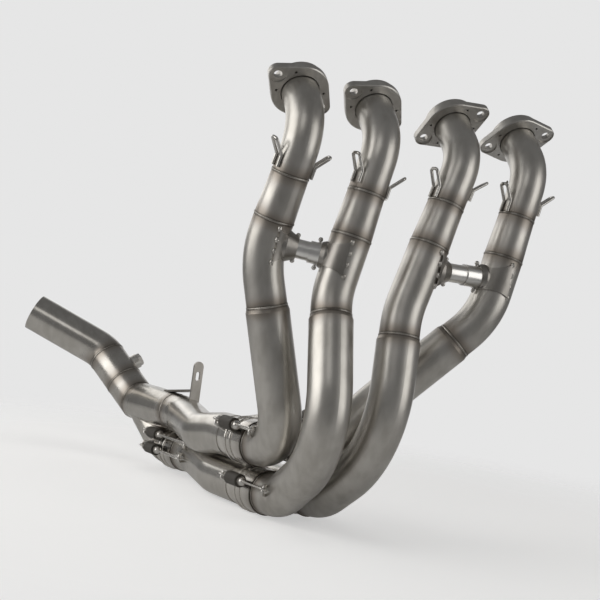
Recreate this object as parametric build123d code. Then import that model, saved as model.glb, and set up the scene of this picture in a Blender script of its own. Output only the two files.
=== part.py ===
"""Four-into-two-into-one exhaust header for an in-line four motorcycle engine.

Millimetres. X runs along the port row, Y rearward, Z up. The origin is the middle of the port
row, in the plane where the flanges bear on the port collars.
"""

from build123d import *
from math import cos, radians, sin, sqrt, tan
import os

# Port row
PORT_PITCH = 83.5
MID_PITCH = 95.0
PORT_FALL = 46.5

# Port flanges and collars
FLANGE_THICK = 7.0
FLANGE_WAIST_R = 29.5
EAR_R = 9.5
STUD_REACH = 32.0
STUD_HOLE_R = 4.25
SPOT_FACE_R = 8.7
SPOT_FACE_DEPTH = 1.6
WIRE_HOLE_R = 1.2
WIRE_HOLE_SPREAD = 34.0
FLANGE_EDGE = 0.9
FLANGE_CLEARANCE = 0.8
FLANGE_TURNS = (-24.5, -24.5, 43.0, 27.5)
COLLAR_R = 27.0
COLLAR_LENGTH = 9.0
COLLAR_STEP = 3.0
COLLAR_NOSE_LENGTH = 3.0

# Primary tubes, in three steps of outside diameter
STUB_OD = 38.1
MID_OD = 41.3
PRIMARY_OD = 44.5
WALL = 1.2
NOSE_RUN = 56.0
STUB_BEND_R = 53.0
CONE_LENGTH = 46.0
SWAGE_LENGTH = 5.0

# Bend points and bend radii of the four primaries, front view left to right
MID_POINTS = (
    (-146.0, 4.0, -171.0),
    (-78.0, -28.0, -202.0),
    (-2.0, -38.0, -210.0),
    (98.0, -34.0, -201.0),
)
MID_BEND_R = (109.0, 80.0, 120.0, 92.0)
LOW_POINTS = (
    None,
    (-82.0, -77.0, -352.0),
    (-14.0, -61.0, -348.0),
    (11.0, 15.0, -305.0),
)
LOW_BEND_R = (None, 83.0, 110.0, 140.0)
LAST_RUN = (51.0, 24.0, 22.0, 44.0)
LAST_BEND_R = (46.0, 66.0, 62.0, 48.0)

# Straight lengths between a bend and the next weld
STUB_TAILS = (21.0, 34.0, 33.0, 30.0)
MID_TAILS = (24.0, 4.0, 9.0, 12.0)

# Collector frame: the slip joints stand in one upright plane, square to the collector axis
SLIP_ORIGIN = (-73.5, 57.3, -361.3)
COLLECTOR_YAW = 9.0
SLIP_SPACING = 53.0
UPPER_TWIST = 6.0
LOWER_SHIFT = 19.5
LOWER_DROP = 51.0

# Slip joints
SOCKET_WALL = 1.7
SLIP_CLEARANCE = 0.15
SOCKET_LENGTH = 36.0
SOCKET_NECK = 6.0
RIDGE_SHARE = 0.8
RIDGE_PLACES = (0.6, 0.88)
SPIGOT_INSET = 24.0

# Y-pieces and final collector, placed along the collector axis
MERGE_START = 53.0
LEG_LIP = 0.7
UPPER_SHIFT = 4.5
UPPER_LOW = 1.7
UPPER_DIP = 7.0
UPPER_STRAIGHT = 78.0
UPPER_BEND = 128.0
UPPER_JOIN = 150.0
UPPER_LEVEL = 236.0
FAR_STRAIGHT = 66.0
FAR_TURN = 94.0
FAR_TURN_SPOT = (-10.0, -6.2)
LOWER_SPOT = (-20.0, -49.7)
LOWER_BEND = 116.0
LOWER_LEVEL = 216.0
LOWER_SLIP = 244.0
LEG_BEND_R = 60.0
FAR_BEND_R = 28.0
FINAL_START = 260.0
FINAL_FLARE = 318.0
BRANCH_START = 294.0
BRANCH_TURN = 308.0
BRANCH_JOIN = 360.0
MITRE_PLACE = 374.0

# Outlet
OUTLET_OD = 50.0
ELBOW_POINT = (-170.0, 486.0, -305.0)
OUTLET_END = (-262.0, 525.0, -264.0)
OUTLET_BEND_R = 42.0
ELBOW_SPLIT = 0.45

# Sensor boss and plug
BOSS_PLACE = 17.0
BOSS_R = 10.0
BOSS_HEIGHT = 7.0
BOSS_BORE_R = 6.2
BOSS_AIM = (0.81, 0.05, 0.59)
PLUG_HEX = 15.0
PLUG_HEAD = 5.0
PLUG_SOCKET = 6.0

# Crossover tubes between pipes 1 and 2 and between pipes 3 and 4
CROSS_DROP = 24.0
CROSS_OD = 19.6
CROSS_WALL = 1.2
CROSS_CLEARANCE = 0.2
CROSS_OVERLAP = 9.0
CROSS_SPLIT = 0.55
SADDLE_PLATE = 2.2
SADDLE_HEIGHT = 36.0
SADDLE_EDGES = (10.0, -3.0)
SADDLE_WAIST = 0.68
SCALLOP = 0.12
BALL_PIN_R = 1.5
BALL_PIN_BALL_R = 2.4
BALL_PIN_STAND = 3.2
BALL_PIN_INSETS = (6.5, 4.0)
FLARE_FEET = (6.5, 3.2)
FLARE_LIP = 1.2
FLARE_HEIGHTS = (8.5, 2.0)

# Wire hooks
HOOK_WIRE = 3.3
HOOK_SPREAD = 10.0
HOOK_TIP = 9.0
HOOK_TIP_R = 3.0
HOOK_LEG = 12.0
HOOK_LIFTS = ((4.0, 2.0), (6.0, 1.0), (0.5, 14.0), (0.5, 9.0))
HOOK_SIDES = (10.0, 20.0, 10.0, 10.0)
HOOK_LEAN = 14.0
HOOK_REACH = 12.5
SPRING_LEAN = 10.0
HOOK_BEND_R = 3.6
TOUCH = 0.05

# Retaining springs
SPRING_STAND = 9.0
SPRING_ANGLES = (32.0, 18.0, 162.0, 130.0)
SPRING_FRONTS = (-25.0, -38.0, -20.0, -14.0)
SPRING_REAR = 48.0
LOWER_SPRING_FRONTS = (-46.0, -43.0)
LOWER_SPRING_REARS = (68.0, 60.0)
LOWER_SPRING_ANGLES = (30.0, -3.0)
COIL_R = 5.0
COIL_BORE_R = 3.4
COIL_LENGTH = 26.0
COIL_TAIL = 15.0
SLEEVE_WALL = 2.0
SLEEVE_GAP = 0.1
SLEEVE_END = 1.5
BALL_R = 4.6
EYE_R = 3.8
LINK_NECK = 1.4
LINK_ROUND = 0.85
END_WIRE = 2.2

# Hanger bracket
BRACKET_PLACE = 214.0
BRACKET_SHEET = 2.5
BRACKET_WIDTH = 13.0
TAB_HEIGHT = 36.0
SLOT_R = 2.6
SLOT_LENGTH = 11.0
STRAP_LENGTH = 74.0
STRAP_RISE = 9.0
STRAP_DROP = 9.0

# Directions and frames that the rest is hung on
PORT_X = (
    -MID_PITCH / 2 - PORT_PITCH,
    -MID_PITCH / 2,
    MID_PITCH / 2,
    MID_PITCH / 2 + PORT_PITCH,
)
PORT_AXIS = Vector(0, -cos(radians(PORT_FALL)), -sin(radians(PORT_FALL)))
YAW = radians(COLLECTOR_YAW)
SLIP_PLANE = Plane(
    origin=SLIP_ORIGIN,
    x_dir=(-cos(YAW), -sin(YAW), 0),
    z_dir=(-sin(YAW), cos(YAW), 0),
)
REAR = SLIP_PLANE.z_dir

# Radii that follow from the tubes
STUB_R = STUB_OD / 2
MID_R = MID_OD / 2
PRIMARY_R = PRIMARY_OD / 2
LEG_R = PRIMARY_R + LEG_LIP
OUTLET_R = OUTLET_OD / 2
SLEEVE_R = COIL_R + SLEEVE_GAP + SLEEVE_WALL
SOCKET_R = PRIMARY_R + SLIP_CLEARANCE + SOCKET_WALL

# Slip joint centres in the collector frame: 1 and 4 above, 2 and 3 below
TWIST = radians(UPPER_TWIST)
UPPER_HALF = (SLIP_SPACING / 2 * cos(TWIST), -SLIP_SPACING / 2 * sin(TWIST))
LOWER_NEAR = (UPPER_HALF[0] - LOWER_SHIFT, UPPER_HALF[1] - LOWER_DROP)
LOWER_FAR = (LOWER_NEAR[0] - SLIP_SPACING, LOWER_NEAR[1])
SLIP_SPOTS = (UPPER_HALF, LOWER_NEAR, LOWER_FAR, (-UPPER_HALF[0], -UPPER_HALF[1]))
UPPER_SPOT = (-UPPER_SHIFT, -UPPER_LOW)

nodes = {}


def station(spot, along):
    """Plane square to the collector axis, centred on a spot of the slip plane."""
    return Plane(SLIP_PLANE.location * Location((spot[0], spot[1], along)))


def turned(plane, outline):
    """Solid of revolution about the plane normal from (radius, height) points."""
    face = make_face(Polyline(*outline, close=True))
    return plane * revolve(Plane.XZ * face, Axis.Z)


def ring(plane, inner, outer, length):
    """Straight tube standing on a plane."""
    return turned(plane, ((inner, 0), (outer, 0), (outer, length), (inner, length)))


def rod(plane, radius, length):
    """Solid round bar standing on a plane."""
    return plane * Cylinder(radius, length, align=(Align.CENTER, Align.CENTER, Align.MIN))


def start_plane(path):
    """Plane square to the start of a path."""
    return Plane(origin=path @ 0, z_dir=path % 0)


def pipe(path, outer, inner):
    """Tube swept along a path of straight runs and tangent arcs."""
    return sweep(start_plane(path) * (Circle(outer) - Circle(inner)), path=path)


def bar(path, radius):
    """Round wire or filled tube swept along a path."""
    return sweep(start_plane(path) * Circle(radius), path=path)


def tangent_run(before, corner, after, bend_r):
    """Length taken off each side of a corner by its bend."""
    turn = (corner - before).get_angle(after - corner)
    return bend_r * tan(radians(turn) / 2)


def toward(start, end):
    """Unit vector from one point to another."""
    return (end - start).normalized()


def make_flange(index):
    """Two-stud port flange, chamfered in front and spot-faced round each stud."""
    turn = Rot(0, 0, FLANGE_TURNS[index])
    ears = [Pos(side * STUD_REACH, 0) * Circle(EAR_R) for side in (-1, 1)]
    outline = make_hull(Circle(FLANGE_WAIST_R).edges() + ears[0].edges() + ears[1].edges())
    body = extrude(outline, FLANGE_THICK)
    body = chamfer(body.faces().sort_by(Axis.Z)[-1].edges(), FLANGE_EDGE)
    floor = FLANGE_THICK - SPOT_FACE_DEPTH
    body -= Cylinder(STUB_R + FLANGE_CLEARANCE, 3 * FLANGE_THICK)
    for side in (-1, 1):
        body -= Pos(side * STUD_REACH, 0) * Cylinder(STUD_HOLE_R, 3 * FLANGE_THICK)
        body -= rod(Plane(origin=(side * STUD_REACH, 0, floor)), SPOT_FACE_R, FLANGE_THICK)
    wire_reach = (STUB_R + FLANGE_CLEARANCE + FLANGE_WAIST_R) / 2
    wire_hole = Pos(wire_reach, 0) * Cylinder(WIRE_HOLE_R, 3 * FLANGE_THICK)
    for side in (0, 180):
        for spread in (-WIRE_HOLE_SPREAD, WIRE_HOLE_SPREAD):
            body -= Rot(0, 0, side + spread) * wire_hole
    return port_plane(index) * (turn * body)


def port_plane(index):
    """Plane of a port's flange seat, facing out of the engine."""
    return Plane(origin=(PORT_X[index], 0, 0), x_dir=(1, 0, 0), z_dir=PORT_AXIS)


def make_collar(index):
    """Turned collar that the flange clamps into the port."""
    bore = STUB_R - WALL
    nose = COLLAR_R - COLLAR_STEP
    shoulder = COLLAR_NOSE_LENGTH - COLLAR_LENGTH
    outline = (
        (bore, -COLLAR_LENGTH),
        (nose, -COLLAR_LENGTH),
        (nose, shoulder),
        (COLLAR_R, shoulder),
        (COLLAR_R, 0),
        (bore, 0),
    )
    return turned(port_plane(index), outline)


def route(index):
    """Corner points and bend radii of one primary, port to slip joint."""
    port = Vector(PORT_X[index], 0, 0)
    slip = station(SLIP_SPOTS[index], 0).origin
    points = [port, port + PORT_AXIS * NOSE_RUN, Vector(*MID_POINTS[index])]
    bends = [STUB_BEND_R, MID_BEND_R[index]]
    if LOW_POINTS[index] is not None:
        points.append(Vector(*LOW_POINTS[index]))
        bends.append(LOW_BEND_R[index])
    points += [slip - REAR * LAST_RUN[index], slip]
    bends.append(LAST_BEND_R[index])
    return points, bends


class Primary:
    """Weld places and centre lines of one primary tube."""

    def __init__(self, index):
        points, bends = route(index)
        self.index = index
        fall = toward(points[1], points[2])
        first = tangent_run(points[0], points[1], points[2], bends[0])
        second = tangent_run(points[1], points[2], points[3], bends[1])
        self.fall = fall
        self.weld_a = points[1] + fall * (first + STUB_TAILS[index])
        self.weld_b = self.weld_a + fall * CONE_LENGTH
        self.lower = toward(points[2], points[3])
        self.weld_c = points[2] + self.lower * (second + MID_TAILS[index])
        self.neck = self.weld_c + self.lower * SWAGE_LENGTH
        self.stub_path = FilletPolyline(points[0], points[1], self.weld_a, radius=bends[0])
        self.mid_path = FilletPolyline(self.weld_b, points[2], self.weld_c, radius=bends[1])
        self.low_path = FilletPolyline(self.neck, *points[3:], radius=bends[2:])

    def build(self):
        """Make the four tube lengths of this primary."""
        tag = f"{self.index + 1}"
        cone = (
            (STUB_R - WALL, 0),
            (STUB_R, 0),
            (MID_R, CONE_LENGTH),
            (MID_R - WALL, CONE_LENGTH),
        )
        swage = (
            (MID_R - WALL, 0),
            (MID_R, 0),
            (PRIMARY_R, SWAGE_LENGTH),
            (PRIMARY_R - WALL, SWAGE_LENGTH),
        )
        neck = turned(Plane(origin=self.weld_c, z_dir=self.lower), swage)
        nodes["port_bend_" + tag] = pipe(self.stub_path, STUB_R, STUB_R - WALL)
        nodes["upper_tube_" + tag] = turned(Plane(origin=self.weld_a, z_dir=self.fall), cone)
        nodes["middle_bend_" + tag] = pipe(self.mid_path, MID_R, MID_R - WALL)
        nodes["lower_primary_" + tag] = pipe(self.low_path, PRIMARY_R, PRIMARY_R - WALL) + neck

    def hooks(self):
        """Pair of hairpin wire hooks on the sides of the port bend, above the first weld."""
        pair = []
        swing = radians(HOOK_SIDES[self.index])
        for side, lift in zip((-1, 1), HOOK_LIFTS[self.index]):
            aim = Vector(side * cos(swing), -sin(swing), 0)
            out = (aim - self.fall * aim.dot(self.fall)).normalized()
            foot = Plane(origin=self.weld_a - self.fall * lift, x_dir=out, z_dir=self.fall * -1)
            pair.append(hairpin(foot))
        return Compound(children=pair)


def hairpin(foot):
    """Hairpin hook: two legs along the tube, bent out and up to a rounded end."""
    half = HOOK_SPREAD / 2
    leg_r = sqrt((STUB_R + HOOK_WIRE / 2 + TOUCH) ** 2 - half**2)
    tip_r = STUB_R + HOOK_REACH
    tip_up = HOOK_LEG + HOOK_LEAN
    corners = (
        (leg_r, -half, 0),
        (leg_r, -half, HOOK_LEG),
        (tip_r, -HOOK_TIP / 2, tip_up),
        (tip_r, HOOK_TIP / 2, tip_up),
        (leg_r, half, HOOK_LEG),
        (leg_r, half, 0),
    )
    bends = (HOOK_BEND_R, HOOK_TIP_R, HOOK_TIP_R, HOOK_BEND_R)
    points = [foot.from_local_coords(Vector(*corner)) for corner in corners]
    return bar(FilletPolyline(*points, radius=bends), HOOK_WIRE / 2)


def socket(plane, tube_r):
    """Slip socket: thick neck on the tube end, sliding bore and two raised ridges."""
    bore = tube_r + SLIP_CLEARANCE
    outer = bore + SOCKET_WALL
    outline = (
        (tube_r - WALL, 0),
        (outer, 0),
        (outer, SOCKET_LENGTH),
        (bore, SOCKET_LENGTH),
        (bore, SOCKET_NECK),
        (tube_r - WALL, SOCKET_NECK),
    )
    body = turned(plane, outline)
    for share in RIDGE_PLACES:
        body += plane * Pos(0, 0, share * SOCKET_LENGTH) * Torus(outer, RIDGE_SHARE * SOCKET_WALL)
    return body


def leg_path(corners, bends):
    """Centre line of a collector leg from (x, y, along) corners in the collector frame."""
    points = [SLIP_PLANE.from_local_coords(Vector(*corner)) for corner in corners]
    return FilletPolyline(*points, radius=bends)


def y_piece(main_path, branch_path):
    """Hollow Y of two bent legs, the main one a little wider, and the same body filled."""
    filled = bar(main_path, LEG_R) + bar(branch_path, PRIMARY_R)
    hollow = filled - bar(main_path, LEG_R - WALL) - bar(branch_path, PRIMARY_R - WALL)
    return hollow, filled


def spring_hook(plane, body, tip_r, lean):
    """Slanted wire hook standing on a body, its rounded tip leaning along the tube."""
    half = HOOK_SPREAD / 2
    corners = (
        (tip_r / 3, -half, -lean / 2),
        (tip_r, -HOOK_TIP / 2, lean),
        (tip_r, HOOK_TIP / 2, lean),
        (tip_r / 3, half, -lean / 2),
    )
    points = [plane.from_local_coords(Vector(*corner)) for corner in corners]
    wire = bar(FilletPolyline(*points, radius=HOOK_TIP_R), HOOK_WIRE / 2)
    return largest(wire - body)


def largest(shape):
    """Biggest solid of a cut, with the offcuts left behind."""
    return shape.solids().sort_by(SortBy.VOLUME)[-1]


def make_spring(front, rear):
    """Closed coil with a ball and long link in front, an eye behind, and its rubber sleeve."""
    along = toward(front.origin, rear.origin)
    span = (rear.origin - front.origin).length
    side = front.y_dir
    touch = END_WIRE / 2 + HOOK_WIRE / 2 + TOUCH
    last = span - COIL_TAIL
    first = last - COIL_LENGTH
    line = Plane(origin=front.origin, x_dir=side, z_dir=along)
    body = ring(line.offset(first), COIL_BORE_R, COIL_R, COIL_LENGTH)
    body += line * Pos(0, 0, first - BALL_R / 2) * Sphere(BALL_R)
    body += rod(line.offset(last - END_WIRE), COIL_R, END_WIRE)
    corners = (
        (0, -LINK_NECK, first - BALL_R / 2),
        (0, -EYE_R, -touch),
        (0, EYE_R, -touch),
        (0, LINK_NECK, first - BALL_R / 2),
    )
    points = [line.from_local_coords(Vector(*corner)) for corner in corners]
    body += bar(FilletPolyline(*points, radius=LINK_ROUND * EYE_R), END_WIRE / 2)
    eye_at = span + touch - EYE_R
    body += line * Pos(0, 0, eye_at) * Rot(0, 90, 0) * Torus(EYE_R, END_WIRE / 2)
    body += rod(line.offset(last), END_WIRE / 2, eye_at - EYE_R - last)
    sleeve_length = COIL_LENGTH - 2 * SLEEVE_END
    sleeve = ring(line.offset(first + SLEEVE_END), COIL_R + SLEEVE_GAP, SLEEVE_R, sleeve_length)
    return body, sleeve


def spring_set(spot, angle, front_at, rear_at, front_body, rear_body):
    """One retaining spring with the two hooks that it is stretched between."""
    out = radians(angle)
    reach = SOCKET_R + SPRING_STAND
    place = (spot[0] + reach * cos(out), spot[1] + reach * sin(out))
    radial = SLIP_PLANE.x_dir * cos(out) + SLIP_PLANE.y_dir * sin(out)
    hooks = []
    tips = []
    for along, lean_dir, body in ((front_at, -1, front_body), (rear_at, 1, rear_body)):
        base = station(spot, along - lean_dir * SPRING_LEAN)
        frame = Plane(origin=base.origin, x_dir=radial, z_dir=REAR * lean_dir)
        hooks.append(spring_hook(frame, body, reach, SPRING_LEAN))
        tip = station(place, along)
        tips.append(Plane(origin=tip.origin, x_dir=radial, z_dir=REAR))
    body, sleeve = make_spring(tips[0], tips[1])
    return hooks, body, sleeve


def cross_frame(primary, across):
    """Plane through a middle bend: x toward the other pipe, y down the tube."""
    at = primary.mid_path.position_at(CROSS_DROP, position_mode=PositionMode.LENGTH)
    along = primary.mid_path.tangent_at(CROSS_DROP, position_mode=PositionMode.LENGTH)
    return Plane(origin=at, x_dir=across, z_dir=across.cross(along))


def saddle_outline(near):
    """Flat view of a saddle: pointed corners, hollow long edges and a scalloped front edge."""
    far = MID_R + 3 * SADDLE_PLATE
    half = SADDLE_HEIGHT / 2
    waist = half * SADDLE_WAIST
    middle = (near + far) / 2
    step = SADDLE_HEIGHT / 3
    edges = [
        ThreePointArc((near, -half), (middle, -waist), (far, -waist)),
        Line((far, -waist), (far, waist)),
        ThreePointArc((far, waist), (middle, waist), (near, half)),
    ]
    for count in range(3):
        top = half - count * step
        dip = near + SCALLOP * step
        edges.append(ThreePointArc((near, top), (dip, top - step / 2), (near, top - step)))
    return make_face(edges)


def make_saddle(primary, frame, end, tube_r):
    """Formed plate wrapped round the side of a middle bend, flared up round its tube."""
    foot = tube_r + FLARE_FEET[end]
    shell = pipe(primary.mid_path, MID_R + SADDLE_PLATE, MID_R)
    plate = shell & extrude(frame * saddle_outline(SADDLE_EDGES[end]), MID_OD, both=True)
    lip = MID_R + SADDLE_PLATE + FLARE_HEIGHTS[end]
    cone = (
        (tube_r, 0),
        (foot, 0),
        (foot, MID_R),
        (tube_r + FLARE_LIP, lip),
        (tube_r, lip),
    )
    flare = turned(Plane(origin=frame.origin, z_dir=frame.x_dir), cone) - bar(primary.mid_path, MID_R)
    return largest(plate + flare)


def ball_pins(frame, tube_r, inset, seat):
    """Two ball-ended pins standing above and below one end of a crossover tube."""
    reach = MID_R + SADDLE_PLATE + inset
    pins = []
    for side in (-1, 1):
        foot = Plane(origin=frame.from_local_coords(Vector(reach, 0, 0)), z_dir=frame.y_dir * side)
        pin = rod(foot, BALL_PIN_R, tube_r + BALL_PIN_STAND)
        pin += foot * Pos(0, 0, tube_r + BALL_PIN_STAND) * Sphere(BALL_PIN_BALL_R)
        tube = rod(Plane(origin=frame.origin, z_dir=frame.x_dir), tube_r, 2 * reach)
        pins.append(largest(pin - tube - seat))
    return pins


def make_crossover(left, right, tag):
    """Balance tube between two neighbours: saddles, a sliding pair of tubes and ball pins."""
    start = left.mid_path.position_at(CROSS_DROP, position_mode=PositionMode.LENGTH)
    stop = right.mid_path.position_at(CROSS_DROP, position_mode=PositionMode.LENGTH)
    across = toward(start, stop)
    span = (stop - start).length
    inner_r = CROSS_OD / 2
    outer_bore = inner_r + CROSS_CLEARANCE
    outer_r = outer_bore + CROSS_WALL
    joint = span * CROSS_SPLIT
    pins = []
    for primary, side, name, end in ((left, across, "left", 0), (right, across * -1, "right", 1)):
        frame = cross_frame(primary, side)
        hole = rod(Plane(origin=frame.origin, z_dir=side), inner_r - CROSS_WALL, span / 2)
        skin = bar(primary.mid_path, MID_R + SADDLE_PLATE)
        length = joint + CROSS_OVERLAP if name == "left" else span - joint
        section = (inner_r - CROSS_WALL, inner_r) if name == "left" else (outer_bore, outer_r)
        tube = ring(Plane(origin=frame.origin, z_dir=side), section[0], section[1], length)
        bend = f"middle_bend_{primary.index + 1}"
        nodes[bend] = nodes[bend] - hole
        saddle = make_saddle(primary, frame, end, section[1]) - hole
        nodes[f"crossover_{tag}_saddle_{name}"] = saddle
        nodes[f"crossover_{tag}_tube_{name}"] = largest(tube - skin)
        pins += ball_pins(frame, section[1], BALL_PIN_INSETS[end], saddle + skin)
    nodes[f"crossover_{tag}_pins"] = Compound(children=pins)


# Port end of the header
primaries = [Primary(index) for index in range(4)]
for primary in primaries:
    tag = f"{primary.index + 1}"
    nodes["port_flange_" + tag] = make_flange(primary.index)
    nodes["port_collar_" + tag] = make_collar(primary.index)
    primary.build()
    nodes["port_hooks_" + tag] = primary.hooks()
    nodes["slip_socket_" + tag] = socket(station(SLIP_SPOTS[primary.index], 0), PRIMARY_R)

# Slip spigots
spigot_start = SOCKET_LENGTH - SPIGOT_INSET
for index, spot in enumerate(SLIP_SPOTS):
    plane = station(spot, spigot_start)
    length = MERGE_START - spigot_start
    nodes[f"slip_spigot_{index + 1}"] = ring(plane, PRIMARY_R - WALL, PRIMARY_R, length)

# Upper Y-piece: pipe 1 runs through and pipe 4 joins it from the far side
near = SLIP_SPOTS[0]
far = SLIP_SPOTS[3]
dip = near[1] - UPPER_DIP
upper_main = leg_path(
    (
        (*near, MERGE_START),
        (*near, UPPER_STRAIGHT),
        (near[0], dip, UPPER_BEND),
        (*UPPER_SPOT, UPPER_LEVEL),
        (*UPPER_SPOT, FINAL_START),
    ),
    (LEG_BEND_R, LEG_BEND_R, LEG_BEND_R),
)
upper_branch = leg_path(
    (
        (*far, MERGE_START),
        (*far, FAR_STRAIGHT),
        (*FAR_TURN_SPOT, FAR_TURN),
        (near[0] - LEG_LIP, dip, UPPER_JOIN),
    ),
    (FAR_BEND_R, FAR_BEND_R),
)
nodes["upper_y_piece"], upper_filled = y_piece(upper_main, upper_branch)

# Lower Y-piece: pipe 2 runs through and pipe 3 joins it
near = SLIP_SPOTS[1]
far = SLIP_SPOTS[2]
lower_main = leg_path(
    (
        (*near, MERGE_START),
        (*near, LOWER_BEND),
        (*LOWER_SPOT, LOWER_LEVEL),
        (*LOWER_SPOT, LOWER_SLIP),
    ),
    (LEG_BEND_R, LEG_BEND_R),
)
lower_branch = leg_path(
    ((*far, MERGE_START), (*far, LOWER_BEND), (*LOWER_SPOT, LOWER_LEVEL)),
    LEG_BEND_R,
)
nodes["lower_y_piece"], lower_filled = y_piece(lower_main, lower_branch)
y_bodies = (upper_filled, lower_filled, lower_filled, upper_filled)

# Slip joint between the lower Y-piece and the final collector
lower_spigot_start = LOWER_SLIP + SOCKET_LENGTH - SPIGOT_INSET
lower_spigot_plane = station(LOWER_SPOT, lower_spigot_start)
lower_spigot_length = BRANCH_START - lower_spigot_start
lower_spigot_core = rod(lower_spigot_plane, PRIMARY_R, lower_spigot_length)
nodes["lower_socket"] = socket(station(LOWER_SPOT, LOWER_SLIP), PRIMARY_R)
nodes["lower_spigot"] = ring(lower_spigot_plane, PRIMARY_R - WALL, PRIMARY_R, lower_spigot_length)

# Final collector: the upper tube widens to the outlet and the lower branch rises into it
mitre = station(UPPER_SPOT, MITRE_PLACE).origin
elbow = Vector(*ELBOW_POINT)
climb = toward(mitre, elbow)
mitre_plane = Plane(origin=mitre, z_dir=(climb + REAR).normalized())
flare_end = FINAL_FLARE - FINAL_START
run_end = MITRE_PLACE - FINAL_START + OUTLET_OD
final_plane = station(UPPER_SPOT, FINAL_START)
final_branch = leg_path(
    ((*LOWER_SPOT, BRANCH_START), (*LOWER_SPOT, BRANCH_TURN), (*UPPER_SPOT, BRANCH_JOIN)),
    FAR_BEND_R,
)


def flared_core(inset):
    """Filled run of the final collector that widens to the outlet, less an inset all round."""
    outline = (
        (0, 0),
        (LEG_R - inset, 0),
        (OUTLET_R - inset, flare_end),
        (OUTLET_R - inset, run_end),
        (0, run_end),
    )
    return turned(final_plane, outline)


main_outer = flared_core(0)
main_inner = flared_core(WALL)
final_filled = split(main_outer, bisect_by=mitre_plane, keep=Keep.BOTTOM)
final_filled += bar(final_branch, PRIMARY_R)
nodes["final_collector"] = final_filled - main_inner - bar(final_branch, PRIMARY_R - WALL)

# Outlet elbow in two lengths, then the outlet tube with its bend
outlet_end = Vector(*OUTLET_END)
bend_run = tangent_run(mitre, elbow, outlet_end, OUTLET_BEND_R)
elbow_end = elbow - climb * bend_run
elbow_mid = mitre + climb * ((elbow_end - mitre).length * ELBOW_SPLIT)
lower_elbow = ring(
    Plane(origin=mitre - climb * OUTLET_OD, z_dir=climb),
    OUTLET_R - WALL,
    OUTLET_R,
    (elbow_mid - mitre).length + OUTLET_OD,
)
nodes["elbow_lower"] = split(lower_elbow, bisect_by=mitre_plane, keep=Keep.TOP)
upper_length = (elbow_end - elbow_mid).length
upper_elbow = ring(Plane(origin=elbow_mid, z_dir=climb), OUTLET_R - WALL, OUTLET_R, upper_length)
outlet_way = toward(elbow, outlet_end)
tail_start = Plane(origin=elbow + outlet_way * bend_run, z_dir=outlet_way)
tail_length = (outlet_end - tail_start.origin).length
outlet_path = FilletPolyline(elbow_end - climb, elbow, outlet_end, radius=OUTLET_BEND_R)
outlet_bend = pipe(outlet_path, OUTLET_R, OUTLET_R - WALL)
outlet_bend = split(outlet_bend, bisect_by=Plane(origin=elbow_end, z_dir=climb), keep=Keep.TOP)
outlet_bend = split(outlet_bend, bisect_by=tail_start, keep=Keep.BOTTOM)
nodes["outlet_tube"] = outlet_bend + ring(tail_start, OUTLET_R - WALL, OUTLET_R, tail_length)

# Sensor boss and its plug on the upper elbow length
boss_at = elbow_mid + climb * BOSS_PLACE
aim = Vector(*BOSS_AIM)
boss_plane = Plane(origin=boss_at, z_dir=(aim - climb * aim.dot(climb)).normalized())
boss_top = OUTLET_R + BOSS_HEIGHT
elbow_core = rod(Plane(origin=elbow_mid, z_dir=climb), OUTLET_R, upper_length)
nodes["elbow_upper"] = upper_elbow - rod(boss_plane, BOSS_BORE_R, OUTLET_OD)
nodes["sensor_boss"] = ring(boss_plane, BOSS_BORE_R, BOSS_R, boss_top) - elbow_core
plug = rod(boss_plane.offset(OUTLET_R - WALL), BOSS_BORE_R, BOSS_HEIGHT + WALL)
plug_seat = boss_plane.offset(boss_top)
plug += extrude(plug_seat * RegularPolygon(PLUG_HEX / 2, 6, major_radius=False), PLUG_HEAD)
plug -= extrude(plug_seat * RegularPolygon(PLUG_SOCKET / 2, 6, major_radius=False), 2 * PLUG_HEAD)
nodes["sensor_plug"] = plug

# Crossovers
make_crossover(primaries[0], primaries[1], "front")
make_crossover(primaries[2], primaries[3], "rear")

# Hanger bracket: slotted upright on the upper Y-piece and a strap back to the final collector
strap_y = LEG_R + STRAP_RISE
tab_top = strap_y + TAB_HEIGHT - BRACKET_WIDTH / 2
outline = Pos(0, tab_top / 2) * Rectangle(BRACKET_WIDTH, tab_top)
outline += Pos(0, tab_top) * Circle(BRACKET_WIDTH / 2)
outline -= Pos(0, strap_y + TAB_HEIGHT / 2) * SlotOverall(SLOT_LENGTH, 2 * SLOT_R, rotation=90)
upright = extrude(station(UPPER_SPOT, BRACKET_PLACE) * outline, BRACKET_SHEET)
strap_plane = station(UPPER_SPOT, BRACKET_PLACE)
strap_ends = ((0, strap_y, BRACKET_SHEET / 2), (0, strap_y - STRAP_DROP, STRAP_LENGTH))
strap_path = Line(*[strap_plane.from_local_coords(Vector(*end)) for end in strap_ends])
strap_start = Plane(origin=strap_path @ 0, x_dir=SLIP_PLANE.x_dir, z_dir=strap_path % 0)
strap = sweep(strap_start * Rectangle(BRACKET_WIDTH, BRACKET_SHEET), path=strap_path)
nodes["hanger_bracket"] = largest(upright + strap - upper_filled - final_filled)

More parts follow.
